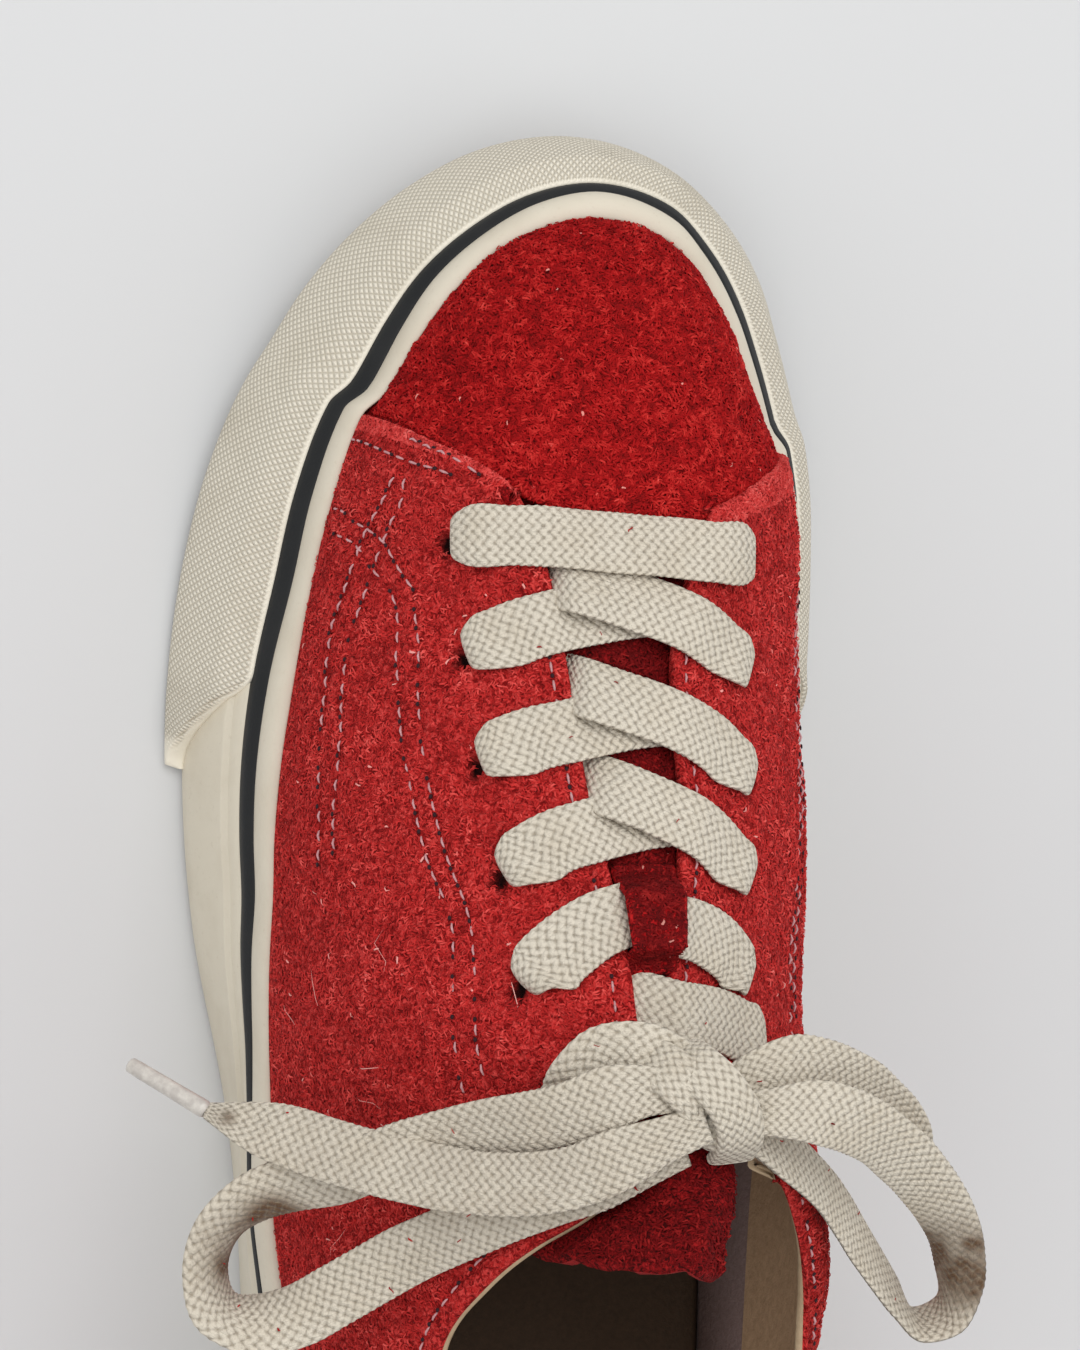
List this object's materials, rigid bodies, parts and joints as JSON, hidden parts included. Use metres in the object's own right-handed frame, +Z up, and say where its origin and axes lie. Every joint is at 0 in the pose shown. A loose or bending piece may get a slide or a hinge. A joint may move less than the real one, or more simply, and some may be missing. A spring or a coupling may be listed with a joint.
{
  "type": "suede low-top sneaker",
  "caption": "Low-top red suede sneaker for the left foot with a cream rubber side, thin black line, toe bumper, and flat cream laces tied in a bow.",
  "frame": {"origin": "on the ground, at the middle of the shoe's length and width without its bow", "axes": "+Z up from the ground, the toe points along -Y and the heel along +Y, +X is the outer (lateral) side of the foot"},
  "size_m": [0.1319, 0.2914, 0.1115],
  "materials": {
    "red_suede": "hairy napped suede",
    "tongue_suede": "dark hairy suede",
    "keeper_suede": "hairy napped suede",
    "cream_rubber": "matt vulcanised rubber",
    "cream_band_rubber": "matt vulcanised rubber",
    "bumper_rubber": "matt rubber with a fine raised texture",
    "black_rubber": "matt",
    "sole_rubber": "matt gum rubber",
    "insole_cloth": "dark brown cloth",
    "lace_cotton": "flat braided cotton",
    "aglet_plastic": "clear lace tip, slightly cloudy"
  },
  "bodies": {
    "root": {"aglet": "aglet_plastic", "foxing": "cream_rubber", "foxing_band": "cream_band_rubber", "foxing_stripe": "black_rubber", "insole": "insole_cloth", "lace_bar_1": "lace_cotton", "lace_bow": "lace_cotton", "lace_cross_2": "lace_cotton", "lace_cross_3": "lace_cotton", "lace_cross_4": "lace_cotton", "lace_keeper": "keeper_suede", "lace_top_strap": "lace_cotton", "lace_under_lateral": "lace_cotton", "lace_under_medial": "lace_cotton", "outsole": "sole_rubber", "toe_bumper": "bumper_rubber", "tongue": "tongue_suede", "upper": "red_suede"}
  },
  "joints": []
}
